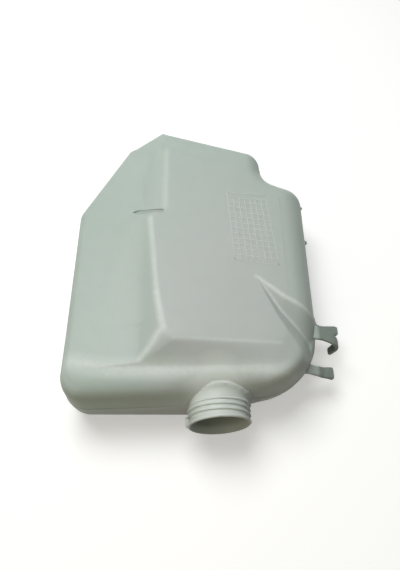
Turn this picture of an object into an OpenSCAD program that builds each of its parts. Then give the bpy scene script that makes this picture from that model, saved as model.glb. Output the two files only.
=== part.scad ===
// Coolant expansion tank, blow-moulded in one piece from natural polyethylene.
// It lies on its flat back: X across the tank, Y from the neck end to the peak, Z up to the front face.
// Origin: middle of the flat back. Units: millimetres.

/* [Body] */
// Width between the left and the right side wall, at the parting line
body_w = 214; // [200:1:230]
// Distance from the origin to the end wall right of the neck
end_y = 140; // [136:1:150]
// How much further out the left end of the end wall stands
end_slant = 10; // [4:0.5:12]
// Distance from the origin to the peak at the far end
peak_y = 126; // [122:1:134]
// Distance of the peak to the left of the middle
peak_left = 29; // [25:1:34]
// Height of the parting line above the flat back
parting_z = 38; // [34:0.5:42]
// Height of the front panel at its upper left corner
panel_z = 82; // [78:0.5:92]
// Drop of the front panel for each millimetre to the right
panel_fall = 0.087; // [0.05:0.005:0.11]
// Wall thickness
wall = 2.6; // [1.8:0.1:3.4]

/* [Outline] */
// Radius of the corner left of the neck
corner_left_r = 19; // [14:1:24]
// Radius of the wide corner right of the neck
corner_right_r = 56; // [50:1:60]
// Width of the notch, from the right wall inwards
notch_w = 39; // [36:1:44]
// Distance of the floor of the notch beyond the origin
notch_y = 71; // [66:1:76]
// Radius in the root of the notch
notch_r = 22; // [16:1:26]
// Radius of the two outer corners of the notch
notch_corner_r = 14; // [10:1:16]
// Distance of the upper right corner beyond the origin
shoulder_y = 102; // [100:1:108]
// Radius of the peak
peak_r = 10; // [7:1:14]
// Width of the long chamfer at the upper left
chamfer_w = 45; // [42:1:50]
// Distance of the upper end of the chamfer beyond the origin
chamfer_top_y = 109; // [105:1:113]
// Distance of the lower end of the chamfer beyond the origin
chamfer_low_y = 31; // [26:1:36]
// Radius of the two ends of the chamfer
chamfer_r = 17; // [13:1:22]

/* [Edges] */
// Radius round the flat back
back_r = 11; // [8:0.5:14]
// Depth of the wide roll-off under the corner right of the neck
back_corner_roll = 34; // [24:1:36]
// Depth of the roll-off over the end wall
end_roll = 17; // [14:1:20]
// Depth of the wide roll-off over the right wall
right_roll = 26; // [22:1:32]
// Depth of the roll-off round the notch and the far end
far_roll = 18; // [14:1:21]
// Radius of the edge over the chamfer and the left wall
left_roll = 9; // [7:1:12]

/* [Front panel] */
// Width of the bevel between the panel and the shoulder at the neck end
bevel_w = 18; // [14:1:22]
// Drop of the front face from the panel to the shoulder
bevel_drop = 12; // [8:0.5:14]
// Distance of the lower left corner of the panel left of the middle
panel_left = 21; // [16:1:28]
// Drop of the front face from the panel to the edge of the left wall
left_fall = 16; // [13:0.5:19]
// Distance of the step in the panel edge beyond the origin
step_y = 22; // [16:1:28]
// Shift of the panel edge at the step
step_w = 14; // [10:1:17]
// Length of the slot along the step
slot_l = 29; // [20:1:32]
// Width of the slot
slot_w = 3; // [2:0.5:4]
// Depth of the slot in the face
slot_d = 1.2; // [0.8:0.1:1.6]

/* [Clip recess] */
// Distance from the middle to the shallow tip of the recess
recess_x = 54; // [50:1:60]
// Distance of the tip before the origin
recess_y = 44; // [38:1:50]
// Height of its valley above the parting line, where it leaves through the rounded right side
recess_floor = 6; // [4:0.5:10]
// Width of the recess there
recess_w = 32; // [26:1:34]

/* [Neck] */
// Distance of the root of the neck to the right of the middle
neck_x = 20.5; // [17:0.5:24]
// Lean of the neck to the right, in degrees
neck_lean = 4; // [0:0.5:5]
// Length of the neck beyond the end wall
neck_reach = 19.5; // [18:0.5:25]
// Diameter of the bore
bore_d = 43; // [40:0.5:45]
// Wall of the neck round the bore
neck_wall = 2.9; // [2.4:0.1:3.4]
// Height of the bead round the mouth
bead_h = 1.6; // [1.2:0.1:2]
// Width of the bead round the mouth
bead_w = 2; // [1.4:0.1:2.4]

/* [Hose clip] */
// Distance of the first lower finger before the origin
finger_1_y = 72; // [68:1:75]
// Distance of the upper finger before the origin
finger_2_y = 88; // [86:1:91]
// Distance of the second lower finger before the origin
finger_3_y = 114; // [108:1:116]
// Width of a lower finger
finger_w = 9; // [7:0.5:10]
// Thickness of a finger
finger_t = 3.4; // [2.8:0.1:3.8]
// Reach of the lower fingers beyond the right wall
finger_reach = 24; // [21:0.5:26]
// Diameter of the hose that the clip holds
hose_d = 13; // [12:0.5:14]

/* [Hidden] */

half_w = body_w / 2;
neck_r = bore_d / 2 + neck_wall;
shoulder_z = panel_z - bevel_drop;
left_z = panel_z - left_fall;

// Points in each corner arc and steps in each straight edge, of the outer and the inner skin
OUTER_ARC = 7;
INNER_ARC = 5;
EDGE_STEPS = 3;
// Rings in the rounded edges of the front and of the back
ROLL_STEPS = 6;
BACK_STEPS = 4;
// Play between the hose and the fingers
HOSE_PLAY = 0.3;
// Depth of the neck inside the end wall, the flare at its root and the chamfer of its lip
NECK_ROOT = 14;
FLARE = 1.6;
LIP = 0.7;

// Outlines, anticlockwise from the corner left of the neck, as x, y, radius of each corner.
// The second corner is a very slight bend under the neck. First the parting line, the widest outline.
bend_x = neck_x - 8;
outline = [
  [-half_w, -end_y - end_slant, corner_left_r],
  [bend_x, -end_y - 6, 40],
  [half_w, -end_y + 8, corner_right_r],
  [half_w - 2, notch_y - 14, notch_corner_r],
  [half_w - notch_w, notch_y, notch_r],
  [half_w - notch_w - 3.5, shoulder_y - 0.5, notch_corner_r],
  [-peak_left, peak_y, peak_r],
  [-half_w + chamfer_w, chamfer_top_y, chamfer_r],
  [-half_w, chamfer_low_y, chamfer_r]
];
CORNERS = len(outline);

// Depth of the roll-off on the front, for each edge from its corner to the next
roll_in = [
  end_roll, end_roll, right_roll, far_roll, far_roll, far_roll - 3, left_roll + 4, left_roll, left_roll
];
// Its height: a share of the front above the parting line, or the radius of the edge at the left
front_h = shoulder_z - parting_z;
roll_up = [
  0.94 * front_h, 0.94 * front_h, 0.96 * front_h, 0.73 * front_h, 0.73 * front_h, 0.67 * front_h,
  left_roll + 4, left_roll, left_roll
];
// Depth of the roll-off on the back, and its further depth at each corner
back_in = [back_r, back_r, back_r + 4, back_r, back_r, back_r, back_r, back_r, back_r];
back_deep = [16, 2, back_corner_roll - back_r, 2, 0, 0, 0, 0, 0];

// Where the roll-off ends over the end wall: x, y, radius of the first three corners.
// This line is straight across the tank, and the wall under it slants.
rim_y = -end_y + end_roll;
rim_x = half_w - right_roll + 2;
rim_end = [
  [-half_w + left_roll, rim_y - 2, 9],
  [bend_x, rim_y - 1, 60],
  [rim_x, rim_y, 20]
];

// Height of the front face where the roll-off ends, at each corner.
// Along the right side and the far end the panel runs down into the roll-off with hardly a step.
notch_x = half_w - notch_w - far_roll;
rim_z = [
  left_z + 2,
  shoulder_z - 1,
  shoulder_z,
  panel_height(rim_x) - 0.5,
  panel_height(notch_x) - 2,
  panel_height(notch_x - 3) - 1.6,
  panel_z - 2,
  left_z + 6,
  left_z
];

// Foot of the front panel: x, y, radius, height at each corner
foot_y = rim_y + 2;
foot = [
  [-panel_left - 24, foot_y, 5, shoulder_z],
  [neck_x, foot_y - 0.6, 20, shoulder_z],
  [rim_x - 2, foot_y, 18, shoulder_z + 0.5],
  [rim_x - 3, notch_y - far_roll - 13, 8, panel_height(rim_x - 3) - 0.2],
  [notch_x - 4, notch_y - far_roll - 4, 15, panel_height(notch_x) - 0.7],
  [notch_x - 7, shoulder_y - far_roll - 2, 7, panel_height(notch_x) - 0.4],
  [-peak_left - 6, peak_y - far_roll - 9, 5, panel_z - 3],
  [-panel_left - 28, step_y + 9, 12, panel_z - 7],
  [-panel_left - 28.5, step_y - 9, 20, panel_z - 3.5]
];

// Edge of the front panel: x, y, radius of each corner
panel_edge = [
  [-panel_left, foot_y + bevel_w, 7],
  [neck_x, foot_y + bevel_w - 2.5, 20],
  [rim_x - 7, foot_y + bevel_w - 3, 13],
  [rim_x - 7, notch_y - far_roll - 19, 6],
  [notch_x - 10, notch_y - far_roll - 11, 15],
  [notch_x - 13, shoulder_y - far_roll - 9, 6],
  [-panel_left - 5, peak_y - far_roll - 12, 4],
  [-panel_left - 4, step_y + 2, 3],
  [-panel_left - 4 - step_w, step_y - 6, 3]
];

function panel_height(x) = panel_z - panel_fall * (x + panel_left);

function unit(v) = v / norm(v);
function left_of(v) = [-v[1], v[0]];
function xy(p) = [p[0], p[1]];
function at(list, i) = list[(i + len(list)) % len(list)];
function mix(a, b, share) = a + (b - a) * share;
function edge_dir(poly, i) = unit(xy(at(poly, i + 1)) - xy(at(poly, i)));

// Turn of an outline at corner i in degrees, negative where it turns inwards
function turn_at(poly, i) = let(
    u = edge_dir(poly, i - 1),
    v = edge_dir(poly, i)
  ) atan2(cross(u, v), u * v);

// Point on the arc of corner i, from its start at share 0 to its end at share 1
function arc_point(poly, i, share) = let(
    u = edge_dir(poly, i - 1),
    turn = turn_at(poly, i),
    r = poly[i][2] * sign(turn),
    centre = xy(poly[i]) - u * r * tan(turn / 2) + left_of(u) * r,
    a = turn * share
  ) centre - (left_of(u) * cos(a) - u * sin(a)) * r;

// Points of a ring: n steps round every corner, equal steps along every edge
function ring(poly, n) = [
  for (i = [0 : CORNERS - 1]) each concat(
    [for (j = [0 : n]) arc_point(poly, i, j / n)],
    [
      for (s = [1 : EDGE_STEPS - 1])
        mix(arc_point(poly, i, 1), arc_point(poly, (i + 1) % CORNERS, 0), s / EDGE_STEPS)
    ]
  )
];

// Values given for each corner, spread over the points of a ring
function by_corner(values, n) = [
  for (i = [0 : CORNERS - 1]) each concat(
    [for (j = [0 : n]) values[i]],
    [for (s = [1 : EDGE_STEPS - 1]) mix(values[i], at(values, i + 1), s / EDGE_STEPS)]
  )
];

// Values given for each edge, blended round the corners between them
function by_edge(values, n) = [
  for (i = [0 : CORNERS - 1]) each concat(
    [for (j = [0 : n]) mix(at(values, i - 1), values[i], j / n)],
    [for (s = [1 : EDGE_STEPS - 1]) values[i]]
  )
];

// The parting outline with each edge moved in by its own amount
function inset_outline(by) = [
  for (i = [0 : CORNERS - 1]) let(
    u = edge_dir(outline, i - 1),
    v = edge_dir(outline, i),
    p = xy(outline[i]) + left_of(u) * at(by, i - 1),
    q = xy(outline[i]) + left_of(v) * by[i],
    c = p + u * cross(q - p, v) / cross(u, v),
    r = outline[i][2]
  ) [c[0], c[1], turn_at(outline, i) < 0 ? r : max(r - (by[i] + at(by, i - 1)) / 2, r / 5)]
];

// Quarter-ellipse roll between two rings: the first is met along Z, the second along XY
function roll(from, to, rise, steps) = [
  for (k = [0 : steps]) let(a = 90 * k / steps) [
    for (i = [0 : len(from) - 1]) let(
      p = mix(from[i], to[i], 1 - cos(a))
    ) [p[0], p[1], to[i][2] + rise[i] * (sin(a) - 1)]
  ]
];

function lift(points, heights) = [
  for (i = [0 : len(points) - 1]) [points[i][0], points[i][1], heights[i]]
];

// All rings of the skin from the back to the panel, moved inwards everywhere by inset
function skin_rings(inset, n) = let(
    add = [for (i = [0 : CORNERS - 1]) inset],
    widest = lift(ring(inset_outline(add), n), by_corner([for (c = outline) parting_z], n)),
    back_poly = inset_outline(back_in),
    back = lift(
      ring([
        for (i = [0 : CORNERS - 1])
          [
            back_poly[i][0] - sign(back_poly[i][0]) * back_deep[i] * 0.8,
            back_poly[i][1] + back_deep[i] * 0.7,
            back_poly[i][2]
          ]
      ], n),
      by_corner([for (c = outline) inset], n)
    ),
    rim_poly = inset_outline(roll_in),
    rim_corners = concat(rim_end, [for (i = [len(rim_end) : CORNERS - 1]) rim_poly[i]]),
    rim = lift(ring(rim_corners, n), by_corner([for (z = rim_z) z - inset], n)),
    back_rise = by_corner([for (i = [0 : CORNERS - 1]) -back_r - back_deep[i] + inset], n)
  ) concat(
    [for (k = [BACK_STEPS : -1 : 0]) roll(widest, back, back_rise, BACK_STEPS)[k]],
    [widest],
    roll(widest, rim, by_edge([for (r = roll_up) r - inset], n), ROLL_STEPS),
    [lift(ring(foot, n), by_corner([for (c = foot) c[3] - inset], n))],
    let(edge = ring(panel_edge, n))
      [lift(edge, [for (p = edge) panel_height(p[0]) - inset])]
  );

// Closed solid through rings of equal length. Its flat ends are fans from one point of the end edge.
module loft(rings, fan) {
  count = len(rings[0]);
  last = (len(rings) - 1) * count;
  polyhedron(
    points = [for (r = rings) each r],
    faces = concat(
      [[for (k = [0 : count - 1]) (fan + k) % count]],
      [
        for (r = [0 : len(rings) - 2]) for (k = [0 : count - 1]) let(
          a = r * count + k,
          b = r * count + (k + 1) % count
        ) each [[a, a + count, b], [b, a + count, b + count]]
      ],
      [[for (k = [0 : count - 1]) last + (fan + count - k) % count]]
    )
  );
}

module skin(inset, n) {
  loft(skin_rings(inset, n), n + 1);
}

// Slot in the face along the step of the panel edge. It starts at a point and slopes with the face.
slot_start = [-panel_left - 34, step_y + 1.5, panel_z - 6.9];
SLOT_SLOPE = 13.5;
SLOT_TURN = 3;
SLOT_TAPER = 3;

module slot() {
  half = slot_w / 2;
  translate(slot_start) rotate([0, -SLOT_SLOPE, SLOT_TURN])
    translate([0, 0, -slot_d]) linear_extrude(height = 8)
      polygon([[0, 0], [SLOT_TAPER, half], [slot_l, half], [slot_l, -half], [SLOT_TAPER, -half]]);
}

// Open groove with two flat walls that meet in a sloping valley. Valley and top edges of the walls
// start at the tip and run down to the right. The groove is moved into the body by inset.
recess_tip = [recess_x, -recess_y, panel_height(recess_x) + 0.4];
recess_out = [half_w - 9.5, -recess_y - 48, shoulder_z - 7];
recess_along = unit([recess_out[0] - recess_tip[0], recess_out[1] - recess_tip[1], 0]);
recess_across = [-recess_along[1], recess_along[0], 0];
valley_out = [recess_out[0], recess_out[1], parting_z + recess_floor];
upper_out = recess_out - recess_along * 11 + recess_across * recess_w * 0.46 - [0, 0, 4];
lower_out = recess_out + recess_along * 5 - recess_across * recess_w * 0.54 + [0, 0, 1];

module recess(inset) {
  valley = valley_out - recess_tip;
  upper_n = unit(cross(upper_out - recess_tip, valley));
  lower_n = unit(cross(valley, lower_out - recess_tip));
  translate((upper_n + lower_n) / (1 + upper_n * lower_n) * inset)
    polyhedron(
      points = [
        recess_tip - valley * 0.12,
        recess_tip + valley * 1.35,
        valley_out + (upper_out - valley_out) * 2.5,
        valley_out + (lower_out - valley_out) * 2.5
      ],
      faces = [[0, 1, 2], [0, 3, 1], [0, 2, 3], [1, 3, 2]]
    );
}

// Frame of the neck: Z runs out along its axis, from the end wall
module at_neck() {
  translate([neck_x, -end_y - end_slant / 3, parting_z])
    rotate([0, 0, neck_lean]) rotate([90, 0, 0]) children();
}

module neck() {
  at_neck() rotate_extrude($fn = 120) polygon([
    [0, -NECK_ROOT],
    [neck_r + FLARE, -NECK_ROOT],
    [neck_r + FLARE, 0],
    [neck_r, FLARE * 1.5],
    [neck_r, neck_reach - bead_w - bead_h / 2],
    [neck_r + bead_h, neck_reach - bead_w],
    [neck_r + bead_h, neck_reach - LIP],
    [neck_r + bead_h - LIP, neck_reach],
    [0, neck_reach]
  ]);
}

module neck_bore() {
  at_neck() translate([0, 0, -NECK_ROOT - 2])
    cylinder(h = neck_reach + NECK_ROOT + 6, d = bore_d, $fn = 120);
}

// Band of even thickness t along a path, as the points of a polygon
function ribbon(path, t) = let(
    last = len(path) - 1,
    side = [
      for (i = [0 : last])
        left_of(unit(path[min(i + 1, last)] - path[max(i - 1, 0)])) * t / 2
    ]
  ) concat(
    [for (i = [0 : last]) path[i] + side[i]],
    [for (i = [last : -1 : 0]) path[i] - side[i]]
  );

// Finger standing on the right side, w wide along Y, with its path in X and Z
module finger(y, w, path) {
  translate([0, -y + w / 2, 0]) rotate([90, 0, 0]) linear_extrude(height = w) polygon(ribbon(path, finger_t));
}

// Middle of the held hose, seen along Y
hose_r = hose_d / 2 + HOSE_PLAY;
hose = [half_w + hose_r + 3, parting_z - 3];
bend_r = hose_r + finger_t / 2;

// Lower finger: beside and under the hose from a starting angle, then level to a thicker end pad
module lower_finger(y, root, start, tip_x) {
  pad_z = hose[1] - bend_r - 3;
  path = [
    root,
    for (a = [start : 10 : 270]) hose + [cos(a), sin(a)] * bend_r,
    [hose[0] + 6, pad_z + 1.4],
    [tip_x, pad_z]
  ];
  finger(y, finger_w, path);
  translate([tip_x, -y + finger_w / 2, pad_z])
    rotate([90, 0, 0]) cylinder(h = finger_w, d = finger_t + 1.6, $fn = 32);
}

// Upper finger: over the hose, down its outer side and a little under it
module upper_finger() {
  path = [
    [half_w - 3, hose[1] + bend_r + 1.5],
    for (a = [80 : -10 : -40]) hose + [cos(a), sin(a)] * bend_r,
    hose + [bend_r * 0.55, -bend_r - 1],
    hose + [bend_r * 0.35, -bend_r - 4.5]
  ];
  finger(finger_2_y, finger_w + 1, path);
}

module tank() {
  color("#c3cec6") difference() {
    union() {
      difference() {
        skin(0, OUTER_ARC);
        recess(0);
        slot();
      }
      neck();
      lower_finger(finger_1_y, [half_w - 2, hose[1] + 9], 180, half_w + finger_reach);
      lower_finger(finger_3_y, [half_w - 19, hose[1] + 5], 210, half_w + finger_reach - 10);
      upper_finger();
    }
    difference() {
      skin(wall, INNER_ARC);
      recess(wall);
    }
    neck_bore();
  }
}

tank();
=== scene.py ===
import math
import bpy
import numpy as np
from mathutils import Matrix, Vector


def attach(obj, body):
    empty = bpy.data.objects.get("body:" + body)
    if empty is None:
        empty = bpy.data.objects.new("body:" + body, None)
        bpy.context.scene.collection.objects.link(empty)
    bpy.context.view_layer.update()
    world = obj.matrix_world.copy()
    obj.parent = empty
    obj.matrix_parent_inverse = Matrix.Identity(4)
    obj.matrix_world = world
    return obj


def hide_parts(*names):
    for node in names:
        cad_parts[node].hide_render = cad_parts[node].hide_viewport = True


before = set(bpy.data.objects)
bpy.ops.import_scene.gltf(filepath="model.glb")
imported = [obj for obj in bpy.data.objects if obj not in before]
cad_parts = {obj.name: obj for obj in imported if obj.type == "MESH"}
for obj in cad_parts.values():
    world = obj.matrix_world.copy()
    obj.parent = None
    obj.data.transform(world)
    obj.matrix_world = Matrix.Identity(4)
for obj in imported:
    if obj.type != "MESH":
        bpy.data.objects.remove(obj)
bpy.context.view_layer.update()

# Blown body.
# One blown shell of natural polyethylene with a wall of 2.6 mm, closed between two mould halves that part at
# z = 38 mm. Its flat back lies at z = 0, and wide rolled edges and a bevel lead up to the sloping front panel.
# Sizes are in mm. Outlines run anticlockwise from the corner left of the neck: x, y, radius.
mm = 0.001
parting, wall_t = 38.0, 2.6
widest = [(-107, -150, 19), (12.5, -146, 40), (107, -132, 56), (105, 57, 14), (68, 71, 22),
          (64.5, 101.5, 14), (-29, 126, 10), (-62, 109, 17), (-107, 31, 17)]
rim_end = [(-98, -125, 9), (12.5, -124, 60), (83, -123, 20)]
foot = [(-45, -121, 5), (20.5, -121.6, 20), (81, -121, 18), (80, 40, 8), (46, 49, 15),
        (43, 82, 7), (-35, 99, 5), (-49, 31, 12), (-49.5, 13, 20)]
panel = [(-22, -103.5, 13), (20.5, -105.5, 20), (76, -106, 13), (76, 34, 6), (40, 42, 15),
         (37, 75, 6), (-26, 96, 4), (-25, 24, 3), (-39, 16, 3)]


def panel_height(x):
    """Height of the front panel, which falls 0.087 mm for each millimetre to the right."""
    return 82 - 0.087 * (x + 21)


# Heights at each corner of the rim and of the panel's foot; how far each edge rolls in and up on the front,
# and in on the back, edge by edge; how much deeper the back rolls off at each corner.
rim_z = [68, 69, 70, panel_height(79), panel_height(50) - 0.6, panel_height(47) - 0.6, 80, 72, 66]
foot_z = [70, 70, 70.5, panel_height(78.5), panel_height(46) - 0.2, panel_height(43) - 0.3, 80.3, 75, 78.5]
roll_in = [17, 17, 26, 18, 18, 15, 13, 9, 9]
roll_up = [30, 30, 30.7, 23.4, 23.4, 21.4, 13, 9, 9]
back_in = [11, 11, 15, 11, 11, 11, 11, 11, 11]
back_deep = [16, 2, 23, 2, 0, 0, 0, 0, 0]


def cross(a, b):
    """Cross product of two rows of flat vectors."""
    return a[:, 0] * b[:, 1] - a[:, 1] * b[:, 0]


def directions(corners):
    """Unit vectors along the edges that leave each corner, those that reach it, and the turn between them."""
    p = np.array(corners, float)[:, :2]
    leaving = np.roll(p, -1, 0) - p
    leaving /= np.linalg.norm(leaving, axis=1)[:, None]
    reaching = np.roll(leaving, 1, 0)
    turn = np.arctan2(cross(reaching, leaving), (reaching * leaving).sum(1))
    return p, leaving, reaching, turn


def track(corners, arcs, runs):
    """Closed outline: a circular arc in each corner with arcs steps, then runs steps straight to the next arc."""
    p, leaving, reaching, turn = directions(corners)
    r = np.array(corners, float)[:, 2] * np.sign(turn)
    side = np.stack([-reaching[:, 1], reaching[:, 0]], 1)
    centre = p - reaching * (r * np.tan(turn / 2))[:, None] + side * r[:, None]
    bends = []
    for i in range(len(p)):
        a = turn[i] * np.linspace(0, 1, arcs[i] + 1)[:, None]
        bends.append(centre[i] - (side[i] * np.cos(a) - reaching[i] * np.sin(a)) * r[i])
    pieces = []
    for i, bend in enumerate(bends):
        share = (np.arange(1, runs[i]) / runs[i])[:, None]
        pieces += [bend, bend[-1] + (bends[(i + 1) % len(bends)][0] - bend[-1]) * share]
    return np.concatenate(pieces)


def spread(values, arcs, runs, edges=False):
    """A value per corner, even along its arc and straight to the next; or per edge, blended along each arc."""
    v, pieces = np.array(values, float), []
    for i in range(len(v)):
        run = np.arange(1, runs[i]) / runs[i]
        if edges:
            pieces += [v[i - 1] + (v[i] - v[i - 1]) * np.linspace(0, 1, arcs[i] + 1), np.full(len(run), v[i])]
        else:
            pieces += [np.full(arcs[i] + 1, v[i]), v[i] + (v[(i + 1) % len(v)] - v[i]) * run]
    return np.concatenate(pieces)


def moved_in(corners, by):
    """The outline with each edge moved in by its own amount, and its outer corner radii made smaller to match."""
    p, leaving, reaching, turn = directions(corners)
    by = np.array(by, float)
    before = np.roll(by, 1)
    a = p + np.stack([-reaching[:, 1], reaching[:, 0]], 1) * before[:, None]
    b = p + np.stack([-leaving[:, 1], leaving[:, 0]], 1) * by[:, None]
    along = cross(b - a, leaving) / np.sin(turn)
    r = np.array(corners, float)[:, 2]
    r = np.where(turn < 0, r, np.maximum(r - (by + before) / 2, r / 5))
    return np.column_stack([a + reaching * along[:, None], r])


def rolled(low, high, rise, steps, full=0.0):
    """Quarter of a superellipse between two rings: it leaves the lower one upright and meets the upper one level.
    Its power is 2, a plain ellipse, and more where full rises from 0 to 1, which holds the shoulder out."""
    a = np.linspace(0, math.pi / 2, steps + 1)[:, None]
    power = (1 - 0.3 * np.asarray(full))[None] if np.ndim(full) else 1.0
    share = 1 - np.clip(np.cos(a), 0, 1) ** power + 0 * low[None, :, 0]
    flat = low[None] + (high[None] - low[None]) * share[..., None]
    flat[..., 2] = high[None, :, 2] + rise[None] * (np.sin(a) ** power - 1)
    return flat


def between(low, high, steps):
    """Straight rings between two rings, without the first."""
    share = (np.arange(1, steps + 1) / steps)[:, None, None]
    return low[None] + (high[None] - low[None]) * share


def soft_max(a, b, width):
    """The larger of two heights, with a rounded change-over of the given width."""
    near = np.maximum(width - np.abs(a - b), 0) / width
    return np.maximum(a, b) + near * near * width / 4


def groove(x, y, broad=False):
    """Depth of the V groove, a tent across the front: nothing at its upper and lower edge, greatest on the valley
    between them, and growing from the tip to the side. Broad gives the plain trench that the inside follows."""
    upper = np.interp(x, (54, 76.5, 101, 110), (-44, -62.3, -74, -78.5))
    valley = np.interp(x, (54, 74.2, 96.3, 110), (-44, -72.9, -94.9, -108.5))
    lower = np.interp(x, (54, 69.9, 88, 110), (-44, -80.4, -109, -143))
    deep = np.interp(x, (54, 74.2, 96.3, 110), (0, 6.8, 13.5, 16))
    up, down = (upper - y) / np.maximum(upper - valley, 0.1), (y - lower) / np.maximum(valley - lower, 0.1)
    if broad:
        return (deep + 2 * np.clip(deep, 0, 1)) * np.clip(3 * np.minimum(up, down) + 1, 0, 1)
    tent = -soft_max(-up, -down, 0.2)
    return deep * np.clip(soft_max(tent, 0 * tent, 0.16), 0, 1)


def hollows(x, y):
    """Depth of two shallow hollows over the plane, each a Gaussian valley along a straight line: the broad trough
    in the face above the slot, and the short mark under the peak."""
    depth = 0
    for start, end, deep, wide in [((-43, 86), (-51, 36), 1.0, 6.5), ((-33, 106.5), (-22, 105.5), 0.5, 1.6)]:
        run = np.subtract(end, start)
        share = np.clip(((x - start[0]) * run[0] + (y - start[1]) * run[1]) / (run @ run), 0, 1)
        far = np.hypot(x - start[0] - share * run[0], y - start[1] - share * run[1])
        depth = depth + deep * np.exp(-(far / wide) ** 2)
    return depth


def skin(inset, arcs, runs, rows, seam=False):
    """Closed skin of the body as rings over two parameters: round the outline, and from the middle of the back
    over the wall, the rolled edge, the shoulder and the bevel to the middle of the panel. With seam, the wall
    carries the low ridge of the mould parting, and the creases are rounded: each ring moves towards the mean of
    its two neighbours, more often at the soft edges than at the foot of the bevel, and the corner left of the
    neck is rounded along the rings in the same way."""
    def ring(corners, z):
        return np.column_stack([track(corners, arcs, runs), z])

    def level(z):
        return spread([z] * 9, arcs, runs)

    set_back = inset + (0.35 if seam else 0)
    wide = ring(moved_in(widest, [set_back] * 9), level(parting))
    low = moved_in(widest, back_in)
    shift = np.array(back_deep, float)
    low[:, 0] -= np.sign(low[:, 0]) * shift * 0.8
    low[:, 1] += shift * 0.7
    back = ring(low, level(inset))
    rim_poly = moved_in(widest, roll_in)
    rim_poly[:3] = rim_end
    rim = ring(rim_poly, spread(rim_z, arcs, runs) - inset)
    base = ring(foot, spread(foot_z, arcs, runs) - inset)
    for line, drop in [(rim, 0.45), (base, 0.15)]:
        flush = panel_height(line[:, 0]) - drop - inset
        blend = np.clip((line[:, 1] + 118) / 35, 0, 1) * (line[:, 0] > 60)
        line[:, 2] = np.minimum(line[:, 2] * (1 - blend) + flush * blend, flush)
    edge = ring(panel, level(0))
    down = np.clip((16 - edge[:, 1]) / 119, 0, 1)
    edge[:, 0] -= 2.6 * np.sin(math.pi * down ** 1.5) ** 2 * (edge[:, 0] < -15)
    edge[:, 2] = panel_height(edge[:, 0]) - inset
    under = rolled(wide, back, inset - 11 - spread(back_deep, arcs, runs), rows[1])[::-1]
    near = np.clip((-95 - wide[:, 1]) / 40, 0, 1) * (1 - 0.75 * np.exp(-((wide[:, 0] - 22) / 34) ** 4))
    over = rolled(wide, rim, spread(roll_up, arcs, runs, True) - inset, rows[3], near)
    wall = between(under[-1], over[0], rows[2])[:-1]
    if seam:
        ridge = [(-0.8, 0), (-0.4, 0.1), (-0.15, 0.33), (0.15, 0.33), (0.4, 0.1), (0.8, 0)]
        wall = np.stack([ring(moved_in(widest, [set_back - out] * 9), level(parting + up)) for up, out in ridge])
    middle_back = np.array([0, -10, inset])
    middle = np.array([15, -15, panel_height(15) - inset])
    parts = [middle_back + (back - middle_back) * (np.arange(1, rows[0]) / rows[0])[:, None, None],
             under, wall, over, between(rim, base, rows[4]), between(base, edge, rows[5]),
             between(edge, np.broadcast_to(middle, edge.shape), rows[6])[:-1]]
    rings = np.concatenate(parts)
    start = sum(len(part) for part in parts[:3])
    front = rings[start:]
    if seam:
        passes = np.concatenate([np.full(len(part), often) for part, often in zip(parts, (0, 3, 0, 4, 3, 7, 7))])
        passes[start] = 0
        crease = start + len(over) + rows[4] - 1
        passes = np.repeat(passes[:, None], len(base), 1)
        passes[crease - 1:crease + 3] = np.where(base[:, 0] < -46, 14, 2)
        passes[crease - 6:crease + 9, base[:, 0] < -46] = 14
        for again in range(passes.max()):
            mean = (rings[:-2] + 2 * rings[1:-1] + rings[2:]) / 4
            rings[1:-1] = np.where((passes[1:-1] > again)[..., None], mean, rings[1:-1])
        block = rings[start + len(over) - 8:crease + 2]
        soft = np.isin(np.arange(len(base)), np.r_[0:26, len(base) - 14:len(base)])[None, :, None]
        for _ in range(14):
            block[:] = np.where(soft, (np.roll(block, 1, 1) + 2 * block + np.roll(block, -1, 1)) / 4, block)
        front[..., 2] -= hollows(front[..., 0], front[..., 1])
    deep = groove(front[..., 0], front[..., 1], broad=not seam)
    front[..., 2] -= np.minimum(deep, np.maximum(front[..., 2] - (parting + 3), 0) * 0.6)
    return rings, middle_back, middle


def tube(rings, first=None, last=None):
    """Points, quads and end triangles of a grid of rings, each joined to the next, closed at each end by a point
    or by its own ring's mean."""
    k, n = rings.shape[:2]
    ends = [rings[0].mean(0) if first is None else first, rings[-1].mean(0) if last is None else last]
    points = np.concatenate([rings.reshape(-1, 3), ends]) * mm
    i, j = np.meshgrid(np.arange(k - 1), np.arange(n), indexing="ij")
    a, b = i * n + j, i * n + (j + 1) % n
    quads = np.stack([a, b, b + n, a + n], -1).reshape(-1, 4)
    j = np.arange(n)
    bottom = np.stack([np.full(n, k * n), (j + 1) % n, j], -1)
    top = np.stack([np.full(n, k * n + 1), (k - 1) * n + j, (k - 1) * n + (j + 1) % n], -1)
    return points, quads, np.concatenate([bottom, top])


def mesh_of(name, points, quads, triangles):
    """Mesh of whole arrays of points and faces."""
    mesh = bpy.data.meshes.new(name)
    mesh.from_pydata(points.tolist(), [], quads.tolist() + triangles.tolist())
    return mesh


def tube_mesh(name, rings, first=None, last=None):
    """Mesh of one tube."""
    return mesh_of(name, *tube(rings, first, last))


def piece(name, mesh):
    """Object of a finished mesh, at the origin, unturned."""
    obj = bpy.data.objects.new(name, mesh)
    bpy.context.scene.collection.objects.link(obj)
    return obj


rings, low_pole, high_pole = skin(0, [12, 4, 40, 14, 22, 14, 12, 14, 14], [56, 22, 64, 14, 12, 46, 18, 30, 70],
                                  (5, 9, 3, 20, 4, 16, 56), seam=True)
body = piece("body_skin", tube_mesh("body_skin", rings, low_pole, high_pole))
rings, low_pole, high_pole = skin(wall_t, [6, 2, 12, 6, 8, 6, 6, 6, 6], [10, 4, 10, 4, 4, 8, 4, 8, 10],
                                  (2, 5, 2, 8, 2, 3, 6))
hollow = piece("body_hollow", tube_mesh("body_hollow", rings, low_pole, high_pole))

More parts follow.
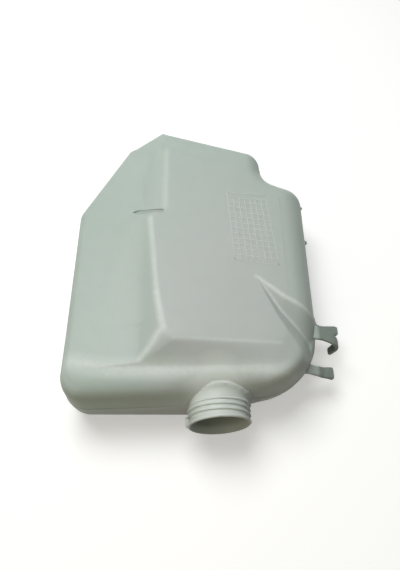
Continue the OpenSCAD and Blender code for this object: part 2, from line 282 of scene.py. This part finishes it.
# Slot in the face.
# A narrow slot along the step of the panel edge, pointed at its left end and blunt at its right. Its floor lies about
# 1 mm under the face above it and 2 to 4 mm under the step that rises below it, and there, from x = -37 to -31, it
# goes through the wall over about 9 square mm. That is a fault.
# Length, width, and how far the floor lies under the cutter's own sloping line
slot_l, slot_w, slot_d = 29.0, 5.0, 0.6
slot_x, slot_y, slot_z = -55, 23.0, 75.1
t = np.linspace(0, 2 * math.pi, 72, endpoint=False)
u = slot_l * (0.5 - 0.5 * np.sign(np.cos(t)) * np.abs(np.cos(t)) ** 0.5)
v = slot_w / 2 * np.sign(np.sin(t)) * np.abs(np.sin(t)) ** 0.35 * np.clip(u / 5, 0, 1) ** 0.6
slope, turned = math.radians(13.5), math.radians(-5)
layers = []
for up, part in [(-slot_d, 0.5), (-slot_d * 0.94, 0.66), (-slot_d * 0.6, 0.84), (0, 1.0), (7, 1.2)]:
    along, rise = u * math.cos(slope) - up * math.sin(slope), u * math.sin(slope) + up * math.cos(slope)
    layers.append(np.stack([slot_x + along * math.cos(turned) - v * part * math.sin(turned),
                            slot_y + along * math.sin(turned) + v * part * math.cos(turned), slot_z + rise], -1))
slot = piece("slot_cut", tube_mesh("slot_cut", np.array(layers)[:, ::-1]))

# Filler neck.
# The neck is blown with the body and leans 4 degrees to the right. Its thread of three ridges and the bead are
# moulded outside, and the plain bore opens towards its mouth. Where the mould halves meet, a thin flash runs along
# both sides and stands out as a small tab at the bead.
neck_r, thread_h, pitch, reach, bore_r = 24.4, 1.5, 4.3, 19.5, 21.5
neck_x, neck_y, lean = 20.5, -143.33, math.radians(4)


def neck_frame(radius, angle, along):
    """Point at a radius, an angle from the top and a distance along the neck's axis, in the body's frame."""
    side, up = -radius * np.sin(angle), radius * np.cos(angle)
    out = np.array([math.sin(lean), -math.cos(lean)])
    right = np.array([math.cos(lean), math.sin(lean)])
    x = neck_x + along * out[0] + side * right[0]
    y = neck_y + along * out[1] + side * right[1]
    return np.stack([x, y, parting + up], -1)


def neck_radius(angle, along):
    """Outer radius: a flare, wider on the right, that dies away from the wall, a helical ridge of rounded trapezoid
    section that fades in and out along the axis, a rounded bead at the mouth, and a sharp low rib in the parting
    plane."""
    height = parting + neck_r * np.cos(angle)
    wall = 21 * (1 - np.sqrt(np.maximum(1 - np.clip((height - 41) / 29, 0, 1) ** 2, 0)))
    below = np.clip((24 - height) / 24, 0, 1)
    flare = (3.4 - 2.4 * np.sin(angle)) * np.exp(-np.maximum(along + wall + 12 * below ** 2, 0) / 2.6)
    turns = (along - 3.6) / pitch + angle / (2 * math.pi)
    far = np.abs(turns - np.round(turns)) * pitch
    ridge = np.clip((1.35 - far) / 0.9, 0, 1)
    ridge = ridge * ridge * (3 - 2 * ridge)
    shown = np.clip((along - 3.0) / 1.4, 0, 1) * np.clip((15.6 - along) / 1.4, 0, 1)
    bead = np.clip(1.25 - np.abs(along - (reach - 1.25)), 0, 1.25) / 1.25
    bead = 1.5 * np.sqrt(1 - (1 - bead) ** 2)
    flat = np.exp(-(neck_r * np.cos(angle) / 0.8) ** 2)
    out = flare + thread_h * ridge * shown + bead + 0.4 * flat * np.clip(along / 3, 0, 1)
    tab = np.maximum(3.3 - out, 0) * flat * (np.sin(angle) > 0) * np.clip((along - reach + 10) / 2, 0, 1)
    return neck_r + out + tab


angle = np.linspace(0, 2 * math.pi, 200, endpoint=False)[None]
lip_from = reach - 0.55
along = np.concatenate([np.linspace(-13, 0, 8, endpoint=False), np.linspace(0, lip_from, 76)])[:, None]
outer = neck_frame(neck_radius(angle, along), angle + 0 * along, along + 0 * angle)
lip = np.linspace(0, 1, 5)[1:, None]
lip = neck_frame(neck_radius(angle, np.array([[lip_from]])) - lip * 0.8 + 0 * angle, angle + 0 * lip,
                 lip_from + 0.4 * np.sqrt(1 - (1 - lip) ** 2) + 0 * angle)
neck = piece("neck_outside", tube_mesh("neck_outside", np.concatenate([outer, lip])))
inside = np.array([-16, -8, 0, 8, 12, 13.5, 15, 16.5, 18, 19, 19.5, 20.6])[:, None]
mouth = bore_r + 3.0 * np.clip((inside - 12) / 7.5, 0, 1.1) ** 1.7
rings = neck_frame(mouth + 0 * angle, angle + 0 * inside, inside + 0 * angle)
bore = piece("neck_bore", tube_mesh("neck_bore", rings))

# Hose clip and level marks.
# Three fingers on the right side hold a hose of about 13 mm: two reach under it and end in a thicker pad, and the
# one between them bends over it and hooks down round its outer side. They are webs of the same blown plastic,
# pinched flat between the mould halves. Two short nubs just above the parting line mark the levels.
hose_x, hose_z, bend = 116.8, 35.0, 8.5


def arc_path(start, end, steps):
    """Points on the bend round the hose, from one angle to another, in degrees."""
    a = np.radians(np.linspace(start, end, steps))
    return np.stack([hose_x + bend * np.cos(a), hose_z + bend * np.sin(a)], 1)


def finger(name, path, y, width, thick, end=1.8):
    """Rounded bar along a path in X and Z: the path is smoothed, and a superellipse of the given width along Y and
    thickness across the path is carried along it. It drifts along Y as y says. The free end closes in a quarter
    circle."""
    path = np.array(path, float)
    step = np.r_[0, np.cumsum(np.linalg.norm(np.diff(path, axis=0), axis=1))]
    s = np.linspace(0, step[-1], 70)
    line = np.stack([np.interp(s, step, path[:, 0]), np.interp(s, step, path[:, 1])], 1)
    for _ in range(10):
        line[1:-1] = (line[:-2] + 2 * line[1:-1] + line[2:]) / 4
    tangent = np.gradient(line, axis=0)
    tangent /= np.linalg.norm(tangent, axis=1)[:, None]
    share = s / step[-1]
    w, t, y = (np.interp(share, np.linspace(0, 1, len(v)), v)[:, None] for v in (width, thick, y))
    left = step[-1] - s
    close, curl = (np.sqrt(np.clip(1 - np.clip(1 - left / r, 0, 1) ** 2, 0.01, 1))[:, None] for r in (1.8, end))
    a = np.linspace(0, 2 * math.pi, 28, endpoint=False)[None]
    c, d = np.sign(np.cos(a)) * np.abs(np.cos(a)) ** 0.4, np.sign(np.sin(a)) * np.abs(np.sin(a)) ** 0.55
    off = t / 2 * close * d
    x = line[:, :1] - tangent[:, 1:] * off
    z = line[:, 1:] + tangent[:, :1] * off
    return piece(name, tube_mesh(name, np.stack([x, y + w / 2 * (0.4 + 0.6 * curl) * c, z], -1)))


def nub(name, x, y, out):
    """Lens-shaped nub half sunk in the wall: rings along Y of an ellipse that shrinks to both ends."""
    along = np.linspace(-0.98, 0.98, 13)[:, None]
    size = np.sqrt(1 - along ** 2)
    a = np.linspace(0, 2 * math.pi, 16, endpoint=False)[None]
    rings = np.stack([x + out * size * np.cos(a), y + 2.3 * along + 0 * a, parting + 5 + 2 * size * np.sin(a)], -1)
    return piece(name, tube_mesh(name, rings[:, ::-1]))


pad_z = hose_z - bend - 3
added = [
    neck,
    finger("finger_lower_1", [(103, 46), (105.6, 42), *arc_path(195, 270, 7), (123.9, pad_z + 1.4), (130.8, pad_z)],
           [-71, -71, -72, -72], [12, 9.5, 7.2, 7, 8.4, 10], [3.6, 3.4, 3.3, 3.3, 4.6, 4.9], 4.5),
    finger("finger_lower_2", [(88, 40), (100, 36.5), *arc_path(215, 270, 7), (119.3, pad_z + 1.2), (122.4, pad_z)],
           [-113, -113.5, -112.5], [10, 9, 8.8, 9.8, 11.4], [3.6, 3.4, 3.3, 3.6, 4.6]),
    finger("finger_upper", [(101.5, 46), (106, 45.4), *arc_path(80, -40, 12), (121.9, 25.5), (120.4, 22.6)],
           [-82.5, -84, -89, -91, -91.5], [13, 12, 9.4, 7.6, 6.6], [3.8, 3.4, 3.2, 3.2, 3.4]),
    nub("level_nub_high", 102.8, 52.6, 4.0),
    nub("level_nub_low", 105.2, 12.0, 2.6),
]

# One piece.
# Everything above comes out of the mould as one part, so the skins are joined into one closed mesh: the solid
# neck, fingers and nubs are added to the body, then its hollow, the bore and the slot are taken out.


def joined(obj, other, operation):
    """The mesh of obj after one exact solid operation with other, which is then removed."""
    step = obj.modifiers.new("join", "BOOLEAN")
    step.operation, step.solver, step.object = operation, "MANIFOLD", other
    mesh = bpy.data.meshes.new_from_object(obj.evaluated_get(bpy.context.evaluated_depsgraph_get()))
    obj.modifiers.remove(step)
    obj.data = mesh
    bpy.data.objects.remove(other)


tank = body
tank.name = "tank_moulding"
for other in added:
    joined(tank, other, "UNION")
for other in (hollow, bore, slot):
    joined(tank, other, "DIFFERENCE")
tank.data.shade_smooth()
tank.data.set_sharp_from_angle(angle=math.radians(42))
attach(tank, "root")
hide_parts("tank")

# Gauge grid.
# A field of fine raised lines on the front panel, engraved in the mould: 7 columns and 12 rows under a bare
# header. Each line is a low flat-topped rib of the same wall, 1 mm wide and 0.25 mm proud.
grid_corners = np.array([[(30.7, 45.6), (66.6, 43.9)], [(36.2, -28.0), (74.4, -31.6)]])
columns, rows, header = 7, 12, 0.075


def grid_point(across, down):
    """Place on the panel at a share across and down the field, straight between its four corners."""
    across, down = np.asarray(across)[..., None], np.asarray(down)[..., None]
    top = grid_corners[0, 0] * (1 - across) + grid_corners[0, 1] * across
    low = grid_corners[1, 0] * (1 - across) + grid_corners[1, 1] * across
    return top * (1 - down) + low * down


def rib(start, end):
    """Rings along a straight line on the panel: a superellipse 1 mm wide and 0.25 mm proud, sunk 0.3 mm, that
    wavers slightly in height and fades at both ends."""
    share = np.linspace(0, 1, 25)[:, None]
    place = start + (end - start) * share
    run = (end - start) / np.linalg.norm(end - start)
    side = np.array([-run[1], run[0]])
    a = np.linspace(0, 2 * math.pi, 10, endpoint=False)[None]
    proud = (0.25 + 0.04 * np.sin(share * 40 + start[0] * 3)) * np.clip(np.minimum(share, 1 - share) * 40, 0.1, 1)
    across, up = (np.sign(v) * np.abs(v) ** 0.6 for v in (np.cos(a), np.sin(a)))
    x = place[:, :1] + 0.5 * across * side[0]
    y = place[:, 1:] + 0.5 * across * side[1]
    return np.stack([x, y, panel_height(x) - 0.02 + np.where(up > 0, proud, 0.3) * up], -1)


lines = [(grid_point(c / columns, 0 if c in (0, columns) else header), grid_point(c / columns, 1))
         for c in range(columns + 1)]
downs = np.r_[0, header + (1 - header) * np.arange(rows + 1) / rows]
lines += [(grid_point(0, down), grid_point(1, down)) for down in downs]
ribs = [tube(rib(a, b)) for a, b in lines]
count = len(ribs[0][0])
grid = piece("gauge_grid", mesh_of("gauge_grid", np.concatenate([points for points, _, _ in ribs]),
                                   np.concatenate([quads + k * count for k, (_, quads, _) in enumerate(ribs)]),
                                   np.concatenate([ends + k * count for k, (_, _, ends) in enumerate(ribs)])))
grid.data.shade_smooth()
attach(grid, "root")


# Polyethylene.
# Natural polyethylene is milky and slightly green, satin on the mould side, with faint flow clouds and a very fine
# orange-peel. Painted highlights make it paler along the creases, the groove, the shoulder and the top of the neck,
# and painted shade darkens the fingers, the slot and, a little, the rolled edges.
class Wire:
    """A socket or a number. The operators add Math nodes; node() adds any other node."""
    tree = None

    def __init__(self, value):
        self.value = value

    @classmethod
    def node(cls, kind, settings=None, out=0, **inputs):
        """Adds a node: its settings first, then the values or links of its sockets, by name or _index."""
        n = cls.tree.nodes.new(kind)
        for key, setting in (settings or {}).items():
            setattr(n, key, setting)
        for key, given in inputs.items():
            socket = n.inputs[int(key[1:])] if key[0] == "_" else n.inputs[key.replace("_", " ")]
            given = given.value if isinstance(given, Wire) else given
            if isinstance(given, bpy.types.NodeSocket):
                cls.tree.links.new(given, socket)
            else:
                socket.default_value = given
        return cls(n.outputs[out])

    def math(self, operation, a, b=0.0, **more):
        return Wire.node("ShaderNodeMath", {"operation": operation, **more}, _0=a, _1=b)

    def __add__(self, other): return self.math("ADD", self, other)
    def __sub__(self, other): return self.math("SUBTRACT", self, other)
    def __mul__(self, other): return self.math("MULTIPLY", self, other)
    def __truediv__(self, other): return self.math("DIVIDE", self, other)
    def __radd__(self, other): return self.math("ADD", other, self)
    def __rsub__(self, other): return self.math("SUBTRACT", other, self)
    def __rmul__(self, other): return self.math("MULTIPLY", other, self)
    def __pow__(self, other): return self.math("POWER", self, other)
    def most(self, other): return self.math("MAXIMUM", self, other)
    def kept(self): return self.math("MULTIPLY", self, 1.0, use_clamp=True)
    def feeds(self, shader, name): Wire.tree.links.new(self.value, shader.inputs[name])


def mix(share, first, second):
    """Colour between two colours."""
    return Wire.node("ShaderNodeMix", {"data_type": "RGBA"}, out=2, _0=share, _6=first, _7=second)


def noise(place, scale, detail=2.0, rough=0.5):
    """Cloud noise on a place vector, from 0 to 1."""
    return Wire.node("ShaderNodeTexNoise", Vector=place, Scale=scale, Detail=detail, Roughness=rough)


def split(place):
    """The three numbers of a place vector."""
    node = Wire.node("ShaderNodeSeparateXYZ", _0=place).value.node
    return [Wire(node.outputs[i]) for i in range(3)]


def streak(x, y, start, end, width):
    """1 on a straight line from start to end seen from above, falling to 0 at the given distance, all in mm."""
    run = np.subtract(end, start) * mm
    start, size = np.multiply(start, mm), float(run @ run)
    share = (((x - float(start[0])) * float(run[0]) + (y - float(start[1])) * float(run[1])) / size).kept()
    across = x - float(start[0]) - share * float(run[0]), y - float(start[1]) - share * float(run[1])
    far = (across[0] * across[0] + across[1] * across[1]) ** 0.5
    return (1 - far / (width * mm)).kept()


def polyethylene(name, overall_highlight=0.0):
    """Milky greenish plastic: cloudy colour, painted highlights along the creases, the shoulder and the neck's top,
    painted shade on the fingers and in the slot, satin, with fine orange-peel. The second argument adds painted
    highlight to the whole material. Its streaks are in mm, and the numbers beside x, y and z are in metres, as Object
    coordinates are."""
    made = bpy.data.materials.new(name)
    made.use_nodes = True
    Wire.tree = made.node_tree
    shader = made.node_tree.nodes["Principled BSDF"]
    place = Wire.node("ShaderNodeTexCoord", out=3)
    x, y, z = split(place)
    cloud, fine = noise(place, 14.0, 3.0, 0.55), noise(place, 90.0, 2.0, 0.5)
    out = (((x - 0.025) / 0.085) ** 2 + ((y + 0.075) / 0.15) ** 2) ** 0.5
    left = ((-0.028 - x) / 0.010).kept() * 0.8
    # Greener away from the middle of the panel and on the left facet; the slight darkening towards the edges is
    # painted shade
    greener = (out * 1.3 - 0.55 + cloud * 0.3 - 0.15).kept().most(left)
    colour = mix(greener, (0.48, 0.515, 0.502, 1), (0.42, 0.505, 0.46, 1))
    colour = mix(cloud * 0.3, colour, (0.52, 0.565, 0.53, 1))
    colour = mix((fine - 0.35).kept() * 0.2, colour, (0.60, 0.63, 0.60, 1))
    # Painted highlights on the creases, the groove's edges, the bevel and the shoulder: start, end, half width and
    # strength of each line
    highlight_lines = [((-26, 96), (-26, 25), 4.5, 0.3), ((-39, 12), (-31, -62), 3.6, 0.6),
               ((-31, -62), (-25, -95), 4.2, 0.9), ((-25, -95), (-33, -107), 5.0, 1.0),
               ((-33, -107), (-44, -120), 4.2, 1.0), ((-16, -103.5), (72, -105), 2.2, 0.5),
               ((54, -44), (77, -62), 3.0, 1.0), ((77, -62), (101, -74), 3.0, 1.0),
               ((57, -48), (74, -73), 2.6, 0.9), ((74, -73), (97, -95), 2.4, 0.9),
               ((-66, -124.5), (80, -128.5), 11.0, 0.85), ((-98, -119), (-66, -124.5), 10.5, 0.75)]
    painted_highlight = 0.0
    for start, end, width, strength in highlight_lines:
        painted_highlight = (streak(x, y, start, end, width) * strength).most(painted_highlight)
    ragged = 0.5 + noise(place, 260.0, 2.0, 0.6)
    # Painted highlight on the top of the neck, where the lamp falls
    neck_top = (streak(x, y, (20, -140), (21.5, -164), 30) * 2.2).kept() * ((z - 0.03) / 0.02).kept()
    painted_highlight = (painted_highlight * ragged * ((z - 0.045) / 0.01).kept()).most(neck_top)
    # Paler colour where the painted highlight falls, broken up by noise
    colour = mix((painted_highlight * 0.85 + overall_highlight).kept(), colour, (0.66, 0.71, 0.675, 1))
    # Painted shade: darker on the fingers right of x = 106.8 mm and in the slot
    finger_shade = ((x - 0.1068) / 0.003).kept()
    slot_shade = (streak(x, y, (-51.5, 22.7), (-29.5, 20.8), 3.4) * 2.4).kept()
    colour = mix(finger_shade.most(slot_shade * 0.32), colour, (0.22, 0.26, 0.23, 1))
    colour.feeds(shader, "Base Color")
    (0.40 + cloud * 0.12).feeds(shader, "Roughness")
    peel = noise(place, 420.0, 2.0, 0.6)
    bump = Wire.node("ShaderNodeBump", Strength=0.10, Distance=0.0006, Height=peel + fine * 2.0)
    bump.feeds(shader, "Normal")
    shader.inputs["Specular IOR Level"].default_value = 0.4
    shader.inputs["Subsurface Weight"].default_value = 0.3
    shader.inputs["Subsurface Radius"].default_value = (0.0045, 0.005, 0.004)
    shader.inputs["Subsurface Scale"].default_value = 1.0
    return made


tank.data.materials.clear()
tank.data.materials.append(polyethylene("natural_polyethylene"))
# The grid's ribs take a paler copy of the plastic: a painted highlight where they catch the light
grid.data.materials.append(polyethylene("raised_polyethylene_painted_highlight", 0.9))

# Studio.
# A white floor under the tank, a large soft lamp over its far left side, a dim warm card on the near side, dim air
# that is greenish above, and the camera that looks down at the photograph's angle. Sizes here are in metres.


def seen():
    """1 for what the camera, a reflection or glass shows, 0 for what only lights the tank."""
    ray = Wire.node("ShaderNodeLightPath").value.node
    first, second, third = (Wire(ray.outputs[f"Is {kind} Ray"]) for kind in ("Camera", "Glossy", "Transmission"))
    return first.most(second).most(third)


floor = piece("studio_floor", bpy.data.meshes.new("studio_floor"))
floor.data.from_pydata([(-3, -3, -0.0006), (3, -3, -0.0006), (3, 3, -0.0006), (-3, 3, -0.0006)], [], [(0, 1, 2, 3)])
paper = bpy.data.materials.new("white_paper")
paper.use_nodes = True
Wire.tree = paper.node_tree
sheet = paper.node_tree.nodes["Principled BSDF"]
sheet.inputs["Roughness"].default_value = 0.9
sheet.inputs["Specular IOR Level"].default_value = 0.0
sheet.inputs["Emission Strength"].default_value = 1.0
shown = seen()
mix(shown, (0.13, 0.125, 0.10, 1), (0.8, 0.8, 0.8, 1)).feeds(sheet, "Base Color")
mix(shown, (0, 0, 0, 1), (0.4, 0.4, 0.4, 1)).feeds(sheet, "Emission Color")
floor.data.materials.append(paper)

world = bpy.data.worlds.new("studio_air")
bpy.context.scene.world = world
world.use_nodes = True
Wire.tree = world.node_tree
air = world.node_tree.nodes["Background"]
y = split(Wire.node("ShaderNodeTexCoord", out=0))[1]
light = mix((y * 0.5 + 0.5).kept(), (0.13, 0.125, 0.095, 1), (0.15, 0.17, 0.155, 1))
mix(seen(), light, (1, 1, 1, 1)).feeds(air, "Color")
air.inputs["Strength"].default_value = 1.0


def lamp(name, place, aim, size, power, tint=(1, 1, 1)):
    """Square soft lamp at a place, facing an aim point."""
    light = bpy.data.lights.new(name, "AREA")
    light.shape, light.size, light.energy, light.color = "SQUARE", size, power, tint
    obj = bpy.data.objects.new(name, light)
    obj.location = place
    obj.rotation_euler = (Vector(aim) - Vector(place)).to_track_quat("-Z", "Y").to_euler()
    bpy.context.scene.collection.objects.link(obj)


lamp("overhead_soft", (-0.26, 0.30, 1.15), (0, -0.02, 0.05), 0.7, 11.3)
lamp("warm_card", (-0.55, -0.95, 0.45), (0, -0.14, 0.05), 0.6, 1.7, (1, 0.82, 0.56))

camera = bpy.data.objects.new("camera", bpy.data.cameras.new("camera"))
bpy.context.scene.collection.objects.link(camera)
camera.location = (0.0058, -0.2943, 0.499)
camera.rotation_euler = (math.radians(29.7), 0, 0)
camera.data.lens = 36.316
camera.data.sensor_width = 36.0
bpy.context.scene.camera = camera
bpy.context.scene.view_settings.view_transform = "Standard"
